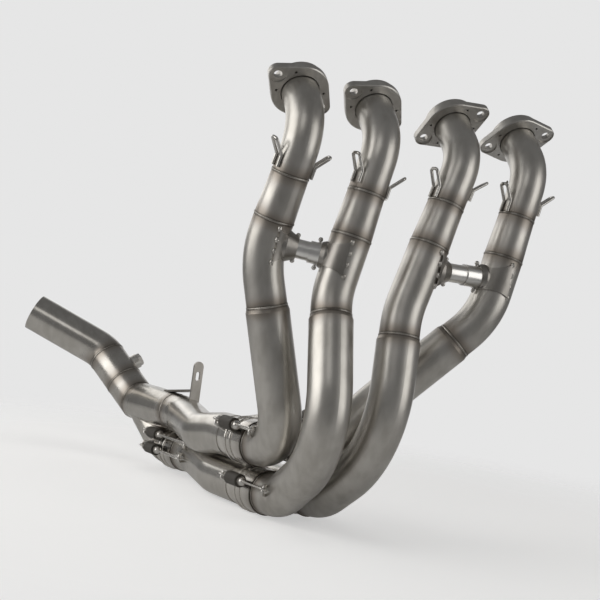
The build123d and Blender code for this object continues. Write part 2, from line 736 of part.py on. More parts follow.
# Retaining springs, their rubber sleeves and the hooks that hold them
hooks = []
springs = []
sleeves = []
sets = []
for index in range(4):
    spot = SLIP_SPOTS[index]
    front_body = rod(station(spot, 0), SOCKET_R, SOCKET_LENGTH)
    front_body += bar(primaries[index].low_path, PRIMARY_R)
    rear_body = y_bodies[index] + rod(station(spot, spigot_start), PRIMARY_R, MERGE_START - spigot_start)
    angle = SPRING_ANGLES[index]
    sets.append((spot, angle, SPRING_FRONTS[index], SPRING_REAR, front_body, rear_body))
socket_core = rod(station(LOWER_SPOT, LOWER_SLIP), SOCKET_R, SOCKET_LENGTH) + lower_filled
for angle, front, rear in zip(LOWER_SPRING_ANGLES, LOWER_SPRING_FRONTS, LOWER_SPRING_REARS):
    places = (LOWER_SLIP + front, LOWER_SLIP + rear)
    sets.append((LOWER_SPOT, angle, *places, socket_core, final_filled + lower_spigot_core))
for entry in sets:
    pair, body, sleeve = spring_set(*entry)
    hooks += pair
    springs.append(body)
    sleeves.append(sleeve)
nodes["spring_hooks"] = Compound(children=hooks)
nodes["retaining_springs"] = Compound(children=springs)
nodes["spring_sleeves"] = Compound(children=sleeves)

os.makedirs("parts", exist_ok=True)
for name, shape in nodes.items():
    export_step(shape, f"parts/{name}.step")
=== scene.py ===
"""Studio scene of a four-into-two-into-one motorcycle exhaust header.

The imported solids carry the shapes. This file gives every solid its finish, lays weld beads and
tack welds on the joints, and sets the floor, the lamps and the camera.
"""

import logging
import math
from dataclasses import dataclass
from enum import Enum

import bmesh
import bpy
import numpy as np
from mathutils import Matrix, Vector, noise
from mathutils.bvhtree import BVHTree


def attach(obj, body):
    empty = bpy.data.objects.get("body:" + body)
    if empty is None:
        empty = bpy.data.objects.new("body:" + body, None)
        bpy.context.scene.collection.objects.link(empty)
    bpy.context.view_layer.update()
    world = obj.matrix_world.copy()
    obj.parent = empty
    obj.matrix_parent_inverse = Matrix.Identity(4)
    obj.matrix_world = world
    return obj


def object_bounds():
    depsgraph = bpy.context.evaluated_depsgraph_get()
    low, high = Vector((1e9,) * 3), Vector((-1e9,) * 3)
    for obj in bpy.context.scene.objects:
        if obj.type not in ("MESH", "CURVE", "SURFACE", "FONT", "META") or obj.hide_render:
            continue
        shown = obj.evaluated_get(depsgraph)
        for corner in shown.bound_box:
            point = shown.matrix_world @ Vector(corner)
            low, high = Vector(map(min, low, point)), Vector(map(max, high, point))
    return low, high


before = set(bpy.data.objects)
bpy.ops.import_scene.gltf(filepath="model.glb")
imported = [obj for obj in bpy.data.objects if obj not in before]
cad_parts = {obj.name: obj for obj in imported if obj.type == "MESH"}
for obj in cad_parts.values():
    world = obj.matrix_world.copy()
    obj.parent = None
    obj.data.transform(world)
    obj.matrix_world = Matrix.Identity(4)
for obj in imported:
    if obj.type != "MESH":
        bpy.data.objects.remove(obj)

LOG = logging.getLogger("exhaust_header")
CAD_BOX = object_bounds()
MM = 0.001
BODY = "root"
PIPES = (1, 2, 3, 4)
UPRIGHT = Vector((0, 0, 1))
REARWARD = Vector((0, 1, 0))

# Fewest triangles in the flat end of a tube and of a wire
TUBE_END = 12
WIRE_END = 6
# Least share of an end's reach at which its points may stand, so that only rings are found
RING_SHARE = 0.7
# Stretch below which an end counts as round
ROUND_STRETCH = 1.03
# Distance within which two ends are welded to each other
MEETING = 0.6 * MM
# Distance within which the first and last points of a spun bead are one
MERGE = 1e-7

Colour = tuple[float, float, float]
Point = tuple[float, float, float]
Socket = bpy.types.NodeSocket


class Grain(Enum):
    """Way the tool marks of a metal run."""

    LENGTHWISE = "lengthwise"
    TURNED = "turned"
    SATIN = "satin"


@dataclass(frozen=True)
class Rim:
    """Flat round or oval end of a tube.

    Args:
        centre: Middle of the end.
        axis: Outward normal of the end.
        radius: Outer radius, across the short way of an oval.
        stretch: Long way over short way, 1 for a round end.
        long_way: Direction of the long way.
    """

    centre: Vector
    axis: Vector
    radius: float
    stretch: float
    long_way: Vector


def flat_ends(node: str, least: int = TUBE_END) -> list[Rim]:
    """Find the flat round ends of a tube or wire node.

    Args:
        node: Name of the solid.
        least: Fewest triangles that make an end.

    Returns:
        The ends in the order they are met.
    """
    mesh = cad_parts[node].data
    groups: dict[tuple[float, ...], list[bpy.types.MeshPolygon]] = {}
    for face in mesh.polygons:
        normal = face.normal
        offset = round(normal.dot(face.center) / MM)
        key = (round(normal.x, 2), round(normal.y, 2), round(normal.z, 2), offset)
        groups.setdefault(key, []).append(face)
    ends = []
    for faces in groups.values():
        if len(faces) < least:
            continue
        corners = {i for face in faces for i in face.vertices}
        spots = {tuple(round(c, 6) for c in mesh.vertices[i].co) for i in corners}
        points = np.array(sorted(spots))
        centre = points.mean(0)
        reach = np.linalg.norm(points - centre, axis=1)
        if reach.min() < RING_SHARE * reach.max():
            continue
        values, ways = np.linalg.eigh(np.cov((points - centre).T))
        stretch = math.sqrt(values[2] / values[1])
        if stretch < ROUND_STRETCH:
            stretch = 1.0
        radius = float(reach.max()) / stretch
        normal = sum((face.normal * face.area for face in faces), Vector()).normalized()
        ends.append(Rim(Vector(centre), normal, radius, stretch, Vector(ways[:, 2])))
    return ends


@dataclass(frozen=True)
class Seam:
    """Weld between two tube nodes.

    Args:
        nodes: Names of the two tubes.
        rim: The smaller of the two ends that meet.
    """

    nodes: tuple[str, str]
    rim: Rim


def find_seams(names: list[str]) -> list[Seam]:
    """Pair the ends that stand on one spot.

    Args:
        names: Tube nodes that may be welded to each other.

    Returns:
        One seam for each pair of ends.
    """
    ends = [(name, rim) for name in names for rim in flat_ends(name)]
    seams = []
    for place, (name, rim) in enumerate(ends):
        for other, mate in ends[place + 1:]:
            if other != name and (rim.centre - mate.centre).length < MEETING:
                seams.append(Seam((name, other), min(rim, mate, key=lambda end: end.radius)))
    return seams


def seams_on(seams: list[Seam], *nodes: str) -> list[Seam]:
    """Return the welds that touch any of the nodes."""
    return [seam for seam in seams if set(seam.nodes) & set(nodes)]


class Nodes:
    """Builder for a node tree."""

    def __init__(self, tree: bpy.types.NodeTree) -> None:
        """Start from an empty tree.

        Args:
            tree: Tree to build in. The nodes it came with are removed.
        """
        self.tree = tree
        self.tree.nodes.clear()

    def add(self, kind: str) -> bpy.types.Node:
        """Add a node of a kind."""
        return self.tree.nodes.new(kind)

    def put(self, socket: Socket, value: object) -> None:
        """Link a socket into an input, or set the input to a plain value.

        Args:
            socket: Input to fill.
            value: Output of another node, or a number, colour or vector.
        """
        if isinstance(value, bpy.types.NodeSocket):
            self.tree.links.new(value, socket)
        else:
            socket.default_value = value

    def fill(self, node: bpy.types.Node, *values: object) -> None:
        """Put values into a node's inputs, in the order of the inputs."""
        for socket, value in zip(node.inputs, values):
            self.put(socket, value)

    def math(self, operation: str, *values: object) -> Socket:
        """Add a Math node.

        Args:
            operation: What it works out.
            values: Outputs of other nodes, or numbers.

        Returns:
            Its result.
        """
        node = self.add("ShaderNodeMath")
        node.operation = operation
        self.fill(node, *values)
        return node.outputs[0]

    def vector(self, operation: str, *values: object) -> Socket:
        """Add a Vector Math node.

        Args:
            operation: What it works out.
            values: Outputs of other nodes, or vectors.

        Returns:
            Its number where the operation gives one, and its vector otherwise.
        """
        node = self.add("ShaderNodeVectorMath")
        node.operation = operation
        self.fill(node, *values)
        scalar = operation in ("DOT_PRODUCT", "LENGTH", "DISTANCE")
        return node.outputs["Value" if scalar else "Vector"]

    def span(
        self, value: Socket, start: float, end: float, low: float = 0.0, high: float = 1.0
    ) -> Socket:
        """Map a range of a value smoothly to another range.

        Args:
            value: Value to map.
            start: Value that gives the low result.
            end: Value that gives the high result.
            low: Result at the start.
            high: Result at the end.

        Returns:
            The mapped value.
        """
        node = self.add("ShaderNodeMapRange")
        node.interpolation_type = "SMOOTHSTEP"
        self.fill(node, value, start, end, low, high)
        return node.outputs["Result"]

    def blend(self, share: Socket, first: Socket, second: Socket) -> Socket:
        """Mix two surfaces or two backgrounds.

        Args:
            share: Share of the second one.
            first: What shows at 0.
            second: What shows at 1.

        Returns:
            The mixed surface or background.
        """
        node = self.add("ShaderNodeMixShader")
        self.fill(node, share, first, second)
        return node.outputs["Shader"]


class Shader(Nodes):
    """Builder for a material with a Principled surface on Object coordinates."""

    # Distance from the middle of a weld, in radii, past which a weld is passed over
    WELD_REACH = 1.6
    # Distance in metres at which no weld tells
    FAR_OFF = 1.0

    def __init__(self, name: str) -> None:
        """Start the material.

        Args:
            name: Name of the material.
        """
        self.material = bpy.data.materials.new(name)
        self.material.use_nodes = True
        super().__init__(self.material.node_tree)
        self.surface = self.add("ShaderNodeBsdfPrincipled")
        self.end = self.add("ShaderNodeOutputMaterial").inputs["Surface"]
        self.put(self.end, self.surface.outputs["BSDF"])
        self.place = self.add("ShaderNodeTexCoord").outputs["Object"]

    def speckle(
        self, space: str, entry: str, place: Socket, scale: float, detail: float
    ) -> Socket:
        """Add a noise texture.

        Args:
            space: Dimensions of the noise.
            entry: Name of the input that takes the place.
            place: Coordinates that the noise runs on.
            scale: Coarse features to a metre.
            detail: Octaves of finer noise.

        Returns:
            Its factor.
        """
        node = self.add("ShaderNodeTexNoise")
        node.noise_dimensions = space
        self.put(node.inputs[entry], place)
        node.inputs["Scale"].default_value = scale
        node.inputs["Detail"].default_value = detail
        return node.outputs["Fac"]

    def noise(self, place: Socket, scale: float, detail: float = 3.0) -> Socket:
        """Add noise through space and return its factor."""
        return self.speckle("3D", "Vector", place, scale, detail)

    def lines(self, along: Socket, scale: float, detail: float = 3.0) -> Socket:
        """Add noise along one coordinate and return its factor."""
        return self.speckle("1D", "W", along, scale, detail)

    def ramp(self, value: Socket, stops: tuple[tuple[float, Colour], ...]) -> Socket:
        """Add a colour ramp.

        Args:
            value: Place on the ramp.
            stops: Places and colours, in order.

        Returns:
            The colour at the place.
        """
        node = self.add("ShaderNodeValToRGB")
        self.put(node.inputs["Fac"], value)
        marks = node.color_ramp.elements
        while len(marks) < len(stops):
            marks.new(0.5)
        for mark, (spot, colour) in zip(marks, stops):
            mark.position = spot
            mark.color = (*colour, 1.0)
        return node.outputs["Color"]

    def mix(self, share: object, first: object, second: object) -> Socket:
        """Mix two colours.

        Args:
            share: Share of the second one.
            first: Colour at 0.
            second: Colour at 1.

        Returns:
            The mixed colour.
        """
        node = self.add("ShaderNodeMix")
        node.data_type = "RGBA"
        self.put(node.inputs["Factor"], share)
        for name, value in (("A", first), ("B", second)):
            socket = next(s for s in node.inputs if s.name == name and s.type == "RGBA")
            self.put(socket, (*value, 1.0) if isinstance(value, tuple) else value)
        return next(s for s in node.outputs if s.type == "RGBA")

    def bump(self, height: Socket, strength: float, distance: float) -> None:
        """Drive the surface normal from a height.

        Args:
            height: Height from 0 to 1.
            strength: How far the normal follows it.
            distance: Depth in metres that a height of 1 stands for.
        """
        node = self.add("ShaderNodeBump")
        node.inputs["Strength"].default_value = strength
        node.inputs["Distance"].default_value = distance
        self.put(node.inputs["Height"], height)
        self.put(self.surface.inputs["Normal"], node.outputs["Normal"])

    def along(self, axis: Vector) -> Socket:
        """Return the coordinate along an axis."""
        return self.vector("DOT_PRODUCT", self.place, tuple(axis))

    def stretched(self, axis: Vector, share: float) -> Socket:
        """Turn the coordinates so that Z lies on an axis, and shrink them along it.

        Args:
            axis: Direction of the new Z.
            share: What is left of a length along it.

        Returns:
            The turned coordinates.
        """
        node = self.add("ShaderNodeMapping")
        self.put(node.inputs["Vector"], self.place)
        turn = axis.to_track_quat("Z", "Y").inverted().to_euler()
        node.inputs["Rotation"].default_value = turn
        node.inputs["Scale"].default_value = (1.0, 1.0, share)
        return node.outputs["Vector"]

    def weld_distance(self, seams: list[Seam]) -> Socket:
        """Measure the distance to the nearest weld along its tube.

        Args:
            seams: Welds on the piece, at least one.

        Returns:
            The distance in metres.
        """
        nearest: object = self.FAR_OFF
        for seam in seams:
            rim = seam.rim
            away = self.vector("SUBTRACT", self.place, tuple(rim.centre))
            off = self.math("ABSOLUTE", self.vector("DOT_PRODUCT", away, tuple(rim.axis)))
            limit = rim.radius * rim.stretch * self.WELD_REACH
            beyond = self.math("GREATER_THAN", self.vector("LENGTH", away), limit)
            nearest = self.math("MINIMUM", self.math("ADD", off, beyond), nearest)
        return nearest


@dataclass(frozen=True)
class SteelFinish:
    """Bare steel with tool marks, heat tint beside its welds and painted shade at the foot of
    each bead.

    Args:
        colour: Clean metal.
        shade: Metal where it is dulled by handling and heat.
        roughness: Middle roughness.
        grain: Way of the tool marks.
        marks: Depth of the tool marks in metres.
        tint: How far the welds have coloured the metal, 0 to 1.
    """

    colour: Colour
    shade: Colour
    roughness: float
    grain: Grain
    marks: float
    tint: float = 0.0

    # Tool marks: features to a metre, how far drawn marks run on, and strength of the bump
    TURNED_SCALE = 2600.0
    DRAWN_SCALE = 900.0
    DRAWN_SHARE = 0.05
    SATIN_SCALE = 1500.0
    MARK_STRENGTH = 0.2
    # Dull places: broad clouds, and patches that run with the grain
    CLOUD_SCALE = 26.0
    PATCH_SCALE = 110.0
    PATCH_DETAIL = 2.0
    PATCH_RUN = 0.4
    PATCH_SHARE = 0.45
    DULL_RANGE = (0.35, 0.68)
    # Swing of the roughness with the tool marks and with the clouds
    MARK_SWING = 0.06
    CLOUD_SWING = 0.04
    # Heat tint: reach from the weld, unevenness, fade, bands and added roughness
    HEAT_REACH = 20.0 * MM
    HEAT_WANDER = 14.0 * MM
    HEAT_FADE = (0.15, 1.0)
    HEAT_BANDS = (
        (0.0, (0.20, 0.18, 0.16)),
        (0.16, (0.30, 0.265, 0.23)),
        (0.36, (0.38, 0.345, 0.31)),
        (0.58, (0.44, 0.415, 0.395)),
        (1.0, (0.52, 0.50, 0.47)),
    )
    HEAT_ROUGHNESS = 0.10
    # Painted shade, a dark line in the crease at the foot of a bead: where it fades, how strong
    # it is and its colour
    CREASE_SHADE_EDGE = (1.0 * MM, 2.6 * MM)
    CREASE_SHADE_STRENGTH = 0.75
    CREASE_SHADE_COLOUR = (0.12, 0.105, 0.09)

    def make(self, name: str, axis: Vector, seams: list[Seam]) -> bpy.types.Material:
        """Build the material.

        Args:
            name: Name of the material.
            axis: Main direction of the piece.
            seams: Welds on the piece.

        Returns:
            The new material.
        """
        shader = Shader(name)
        fine = self.tool_marks(shader, axis)
        cloud = shader.noise(shader.place, self.CLOUD_SCALE)
        run = shader.stretched(axis, self.PATCH_RUN)
        patch = shader.noise(run, self.PATCH_SCALE, self.PATCH_DETAIL)
        dull = shader.math("MULTIPLY", cloud, 1.0 - self.PATCH_SHARE)
        dull = shader.math("MULTIPLY_ADD", patch, self.PATCH_SHARE, dull)
        colour = shader.mix(shader.span(dull, *self.DULL_RANGE), self.colour, self.shade)
        least = self.roughness - (self.MARK_SWING + self.CLOUD_SWING) / 2
        rough = shader.math("MULTIPLY_ADD", fine, self.MARK_SWING, least)
        rough = shader.math("MULTIPLY_ADD", cloud, self.CLOUD_SWING, rough)
        if seams and self.tint:
            colour, rough = self.heat(shader, seams, colour, rough, cloud)
        surface = shader.surface
        surface.inputs["Metallic"].default_value = 1.0
        shader.put(surface.inputs["Base Color"], colour)
        shader.put(surface.inputs["Roughness"], rough)
        shader.bump(fine, self.MARK_STRENGTH, self.marks)
        return shader.material

    def tool_marks(self, shader: Shader, axis: Vector) -> Socket:
        """Lay the marks that the grain asks for.

        Args:
            shader: Material being built.
            axis: Main direction of the piece.

        Returns:
            Height of the marks, 0 to 1.
        """
        if self.grain is Grain.TURNED:
            return shader.lines(shader.along(axis), self.TURNED_SCALE)
        if self.grain is Grain.LENGTHWISE:
            return shader.noise(shader.stretched(axis, self.DRAWN_SHARE), self.DRAWN_SCALE)
        return shader.noise(shader.place, self.SATIN_SCALE)

    def heat(
        self, shader: Shader, seams: list[Seam], colour: Socket, rough: Socket, cloud: Socket
    ) -> tuple[Socket, Socket]:
        """Lay the colours that welding leaves on either side of each bead, and painted shade in
        the crease at its foot.

        Args:
            shader: Material being built.
            seams: Welds on the piece.
            colour: Colour before the tint.
            rough: Roughness before the tint.
            cloud: Slow noise that makes the bands uneven.

        Returns:
            Colour and roughness with the bands and the painted shade laid over them.
        """
        distance = shader.weld_distance(seams)
        wander = shader.math("MULTIPLY_ADD", cloud, self.HEAT_WANDER, distance)
        uneven = shader.math("SUBTRACT", wander, self.HEAT_WANDER / 2)
        uneven = shader.math("DIVIDE", uneven, self.HEAT_REACH)
        fade = shader.span(uneven, *self.HEAT_FADE, self.tint, 0.0)
        colour = shader.mix(fade, colour, shader.ramp(uneven, self.HEAT_BANDS))
        # Painted shade: the tube darkens in the crease at the foot of each bead
        crease_shade = shader.span(distance, *self.CREASE_SHADE_EDGE, self.CREASE_SHADE_STRENGTH, 0.0)
        colour = shader.mix(crease_shade, colour, self.CREASE_SHADE_COLOUR)
        return colour, shader.math("MULTIPLY_ADD", fade, self.HEAT_ROUGHNESS, rough)


@dataclass(frozen=True)
class RubberFinish:
    """Moulded rubber sleeve with the coil showing through it.

    Args:
        colour: Clean rubber.
        speck_and_crest_tone: Lighter rubber, laid in specks and on the crests of the ridges over
            the coil.
        pitch: Spacing of the coil under it.
    """

    colour: Colour = (0.050, 0.045, 0.038)
    speck_and_crest_tone: Colour = (0.110, 0.100, 0.086)
    pitch: float = 2.2 * MM

    # Specks to a metre, how roughness follows them, and how high they stand on a ridge
    SPECK_SCALE = 900.0
    SPECK_RANGE = (0.2, 0.8)
    ROUGHNESS = (0.42, 0.62)
    SPECK_HEIGHT = 0.15
    # Ridges over the coil: their share in the lighter tone, where the lighter tone shows, and
    # their bump
    RIDGE_SHARE = 0.4
    SPECK_AND_CREST_RANGE = (0.4, 0.8)
    RIDGE_STRENGTH = 0.8
    RIDGE_HEIGHT = 0.5 * MM

    def make(self, name: str, axis: Vector) -> bpy.types.Material:
        """Build the material.

        Args:
            name: Name of the material.
            axis: Direction of the springs.

        Returns:
            The new material.
        """
        shader = Shader(name)
        turns = shader.math("MULTIPLY", shader.along(axis), 2.0 * math.pi / self.pitch)
        ridge = shader.math("MULTIPLY_ADD", shader.math("SINE", turns), 0.5, 0.5)
        speck = shader.noise(shader.place, self.SPECK_SCALE)
        # Lighter tone in specks and on the crests of the ridges over the coil
        speck_and_crest_share = shader.math("MULTIPLY", speck, 1.0 - self.RIDGE_SHARE)
        speck_and_crest_share = shader.math("MULTIPLY_ADD", ridge, self.RIDGE_SHARE, speck_and_crest_share)
        colour = shader.mix(shader.span(speck_and_crest_share, *self.SPECK_AND_CREST_RANGE), self.colour, self.speck_and_crest_tone)
        rough = shader.span(speck, *self.SPECK_RANGE, *self.ROUGHNESS)
        shader.put(shader.surface.inputs["Base Color"], colour)
        shader.put(shader.surface.inputs["Roughness"], rough)
        height = shader.math("MULTIPLY_ADD", speck, self.SPECK_HEIGHT, ridge)
        shader.bump(height, self.RIDGE_STRENGTH, self.RIDGE_HEIGHT)
        return shader.material


class Metal(Enum):
    """Named steels of the header."""

    TUBE = SteelFinish(
        (0.62, 0.60, 0.565), (0.50, 0.48, 0.445), 0.35, Grain.LENGTHWISE, 0.025 * MM, 0.9
    )
    BODY = SteelFinish(
        (0.62, 0.60, 0.565), (0.50, 0.48, 0.445), 0.25, Grain.LENGTHWISE, 0.01 * MM, 0.8
    )
    SLIP = SteelFinish(
        (0.74, 0.72, 0.685), (0.58, 0.555, 0.52), 0.21, Grain.TURNED, 0.06 * MM, 0.5
    )
    FLANGE = SteelFinish(
        (0.66, 0.645, 0.615), (0.52, 0.50, 0.47), 0.38, Grain.SATIN, 0.05 * MM
    )
    BRIGHT = SteelFinish(
        (0.92, 0.91, 0.89), (0.80, 0.785, 0.76), 0.30, Grain.TURNED, 0.04 * MM
    )
    WIRE = SteelFinish(
        (0.72, 0.705, 0.68), (0.50, 0.48, 0.45), 0.26, Grain.SATIN, 0.03 * MM
    )
    PLATE = SteelFinish(
        (0.42, 0.40, 0.375), (0.30, 0.285, 0.26), 0.36, Grain.SATIN, 0.06 * MM
    )
    BEAD = SteelFinish(
        (0.52, 0.495, 0.455), (0.16, 0.14, 0.12), 0.33, Grain.SATIN, 0.06 * MM
    )
    TACK = SteelFinish(
        (0.68, 0.66, 0.625), (0.46, 0.435, 0.40), 0.28, Grain.SATIN, 0.05 * MM
    )


def make_welds(name: str, form: bmesh.types.BMesh, material: bpy.types.Material) -> None:
    """Turn finished weld metal into a piece that rides on the header.

    Args:
        name: Name of the piece.
        form: Mesh in the frame's own place. It is freed.
        material: Finish of the piece.
    """
    mesh = bpy.data.meshes.new(name)
    form.to_mesh(mesh)
    form.free()
    mesh.materials.append(material)
    mesh.shade_smooth()
    piece = bpy.data.objects.new(name, mesh)
    bpy.context.scene.collection.objects.link(piece)
    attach(piece, BODY)
    LOG.info("made %s with %d faces", name, len(mesh.polygons))


def main_way(node: str) -> Vector:
    """Find the longest direction of a solid.

    Args:
        node: Name of the solid.

    Returns:
        The direction, of length 1.
    """
    points = np.array([vert.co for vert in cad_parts[node].data.vertices])
    values, ways = np.linalg.eigh(np.cov((points - points.mean(0)).T))
    return Vector(ways[:, int(values.argmax())])


def dress(node: str, material: bpy.types.Material) -> None:
    """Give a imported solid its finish.

    Args:
        node: Name of the solid.
        material: Finish of the solid.
    """
    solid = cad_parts[node]
    if not solid.material_slots:
        solid.data.materials.append(material)
    for slot in solid.material_slots:
        slot.material = material
    LOG.info("dressed %s", node)


def dress_steel(node: str, metal: Metal, axis: Vector, seams: list[Seam] | None = None) -> None:
    """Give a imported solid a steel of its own.

    Args:
        node: Name of the solid.
        metal: Steel to take.
        axis: Main direction of the solid.
        seams: Welds on the solid, if it has any.
    """
    dress(node, metal.value.make(f"{node}_steel", axis, seams or []))


def take_in(target: bmesh.types.BMesh, form: bmesh.types.BMesh) -> None:
    """Add one form to another.

    Args:
        target: Form that grows.
        form: Form that is added. It is freed.
    """
    mesh = bpy.data.meshes.new("form")
    form.to_mesh(mesh)
    form.free()
    target.from_mesh(mesh)
    bpy.data.meshes.remove(mesh)


@dataclass(frozen=True)
class WeldBead:
    """Rippled bead laid round a tube.

    Args:
        width: Width along the tube.
        height: Height above the tube.
        pitch: Spacing of the ripples.
        depth: Share of the bead that the ripples cut away.
        sweep: Curve of each ripple, in radians.
        fewest: Fewest ripples round a tube.
        steps: Steps of the spin to a ripple.
        sides: Sides of the bead's section.
    """

    width: float = 2.4 * MM
    height: float = 0.55 * MM
    pitch: float = 1.7 * MM
    depth: float = 0.34
    sweep: float = 0.9
    fewest: int = 12
    steps: int = 4
    sides: int = 8

    def ring(self, rim: Rim) -> bmesh.types.BMesh:
        """Spin the bead round one tube end.

        Args:
            rim: Tube end that the bead runs round.

        Returns:
            The bead in place.
        """
        form = bmesh.new()
        bmesh.ops.create_circle(form, cap_ends=False, radius=1.0, segments=self.sides)
        size = Matrix.Diagonal((self.height, self.width / 2, 1.0, 1.0))
        upright = Matrix.Rotation(math.pi / 2, 4, "X")
        stand = Matrix.Translation((rim.radius, 0, 0)) @ upright @ size
        bmesh.ops.transform(form, matrix=stand, verts=form.verts)
        ripples = max(self.fewest, round(2 * math.pi * rim.radius / self.pitch))
        bmesh.ops.spin(
            form,
            geom=form.verts[:] + form.edges[:],
            cent=(0, 0, 0),
            axis=(0, 0, 1),
            angle=2 * math.pi,
            steps=self.steps * ripples,
            use_merge=True,
        )
        bmesh.ops.remove_doubles(form, verts=form.verts, dist=MERGE)
        for vert in form.verts:
            angle = math.atan2(vert.co.y, vert.co.x)
            across = vert.co.z / (self.width / 2)
            wave = abs(math.sin(ripples * angle / 2 - self.sweep * across * across))
            core = Vector((math.cos(angle), math.sin(angle), 0)) * rim.radius
            vert.co = core + (vert.co - core) * (1 - self.depth * (1 - wave))
        side = rim.axis.cross(rim.long_way).normalized()
        turn = Matrix((rim.long_way, side, rim.axis)).transposed().to_4x4()
        oval = Matrix.Diagonal((rim.stretch, 1.0, 1.0, 1.0))
        place = Matrix.Translation(rim.centre) @ turn @ oval
        bmesh.ops.transform(form, matrix=place, verts=form.verts)
        bmesh.ops.recalc_face_normals(form, faces=form.faces)
        return form


@dataclass(frozen=True)
class TackWeld:
    """Short lump of weld metal.

    Args:
        length: Length along the joint.
        width: Width across the joint.
        height: Height above the surface.
        ripple: Height of its ripples, as a share of the lump.
        ripple_rate: How closely the ripples follow each other.
        uneven: Height of its unevenness, as a share of the lump.
        uneven_rate: How closely the unevenness is spaced.
        spread: How far apart in the noise two lumps a metre apart are taken.
    """

    length: float = 4.0 * MM
    width: float = 2.4 * MM
    height: float = 1.1 * MM
    ripple: float = 0.10
    ripple_rate: float = 9.0
    uneven: float = 0.16
    uneven_rate: float = 1.7
    spread: float = 400.0

    def lump(self, at: Vector, along: Vector, out: Vector) -> bmesh.types.BMesh:
        """Make one uneven lump.

        Args:
            at: Place on the surface.
            along: Direction of the joint.
            out: Direction away from the surface.

        Returns:
            The lump in place.
        """
        form = bmesh.new()
        bmesh.ops.create_icosphere(form, subdivisions=3, radius=1.0)
        for vert in form.verts:
            ripple = self.ripple * math.cos(self.ripple_rate * vert.co.x)
            rough = noise.noise(vert.co * self.uneven_rate + at * self.spread)
            vert.co *= 1.0 + ripple + self.uneven * rough
        up = out.normalized()
        fore = (along - up * along.dot(up)).normalized()
        turn = Matrix((fore, up.cross(fore), up)).transposed().to_4x4()
        size = Matrix.Diagonal((self.length / 2, self.width / 2, self.height, 1.0))
        place = Matrix.Translation(at) @ turn @ size
        bmesh.ops.transform(form, matrix=place, verts=form.verts)
        return form


@dataclass
class Primary:
    """One primary pipe from its port flange to its slip joint.

    Args:
        number: Place in the row, from 1.
        seams: Every weld of the header.
        bead: Bead laid on its welds.
        tack: Lump at the foot of a hook.
        tack_steps: Places of the lumps along a hook's foot.
        tack_sink: Depth of a lump under the wire's middle, in radii of the wire.
    """

    number: int
    seams: list[Seam]
    bead: WeldBead = WeldBead()
    tack: TackWeld = TackWeld()
    tack_steps: tuple[float, float] = (0.3 * MM, -6.0 * MM)
    tack_sink: float = 0.9

    TUBES = ("port_bend", "upper_tube", "middle_bend", "lower_primary")
    PORT_PARTS = ("port_flange", "port_collar")

    @classmethod
    def tubes(cls, number: int) -> list[str]:
        """Return the tube nodes of a pipe in order from the port."""
        return [f"{name}_{number}" for name in cls.TUBES]

    def dress(self) -> None:
        """Give the flange, collar, tubes and hooks their finishes."""
        for node in self.tubes(self.number):
            dress_steel(node, Metal.TUBE, main_way(node), seams_on(self.seams, node))
        for name in self.PORT_PARTS:
            node = f"{name}_{self.number}"
            dress_steel(node, Metal.FLANGE, main_way(node))
        hooks = f"port_hooks_{self.number}"
        dress_steel(hooks, Metal.WIRE, main_way(hooks))

    def build(self) -> None:
        """Lay the beads between the tubes, and tacks at the hook feet whose flat end is found."""
        form = bmesh.new()
        for seam in seams_on(self.seams, *self.tubes(self.number)):
            take_in(form, self.bead.ring(seam.rim))
        hub = seams_on(self.seams, f"upper_tube_{self.number}")[0].rim
        for foot in flat_ends(f"port_hooks_{self.number}", WIRE_END):
            away = foot.centre - hub.centre
            out = (away - hub.axis * away.dot(hub.axis)).normalized()
            for step in self.tack_steps:
                at = foot.centre + foot.axis * step - out * foot.radius * self.tack_sink
                take_in(form, self.tack.lump(at, foot.axis, out))
        finish = Metal.BEAD.value.make(f"primary_{self.number}_bead_steel", UPRIGHT, [])
        make_welds(f"primary_{self.number}_welds", form, finish)


@dataclass
class Collector:
    """Slip joints, Y-pieces, final collector, outlet and sensor boss.

    Args:
        seams: Every weld of the header.
        bead: Bead laid on its welds.
    """

    seams: list[Seam]
    bead: WeldBead = WeldBead()

    SLIPS = (
        *(f"slip_socket_{n}" for n in PIPES),
        *(f"slip_spigot_{n}" for n in PIPES),
        "lower_socket",
        "lower_spigot",
    )
    BODIES = (
        "upper_y_piece",
        "lower_y_piece",
        "final_collector",
        "elbow_lower",
        "elbow_upper",
        "outlet_tube",
    )
    SENSOR_PARTS = ("sensor_boss", "sensor_plug")

    def dress(self) -> None:
        """Give the joints, bodies and sensor parts their finishes."""
        for node in self.SLIPS:
            axis = flat_ends(node)[0].axis
            dress_steel(node, Metal.SLIP, axis, seams_on(self.seams, node))
        for node in self.BODIES:
            dress_steel(node, Metal.BODY, main_way(node), seams_on(self.seams, node))
        for node in self.SENSOR_PARTS:
            dress_steel(node, Metal.FLANGE, main_way(node))

    def build(self) -> None:
        """Lay the beads of the collector."""
        form = bmesh.new()
        for seam in seams_on(self.seams, *self.BODIES):
            take_in(form, self.bead.ring(seam.rim))
        finish = Metal.BEAD.value.make("collector_bead_steel", REARWARD, [])
        make_welds("collector_welds", form, finish)


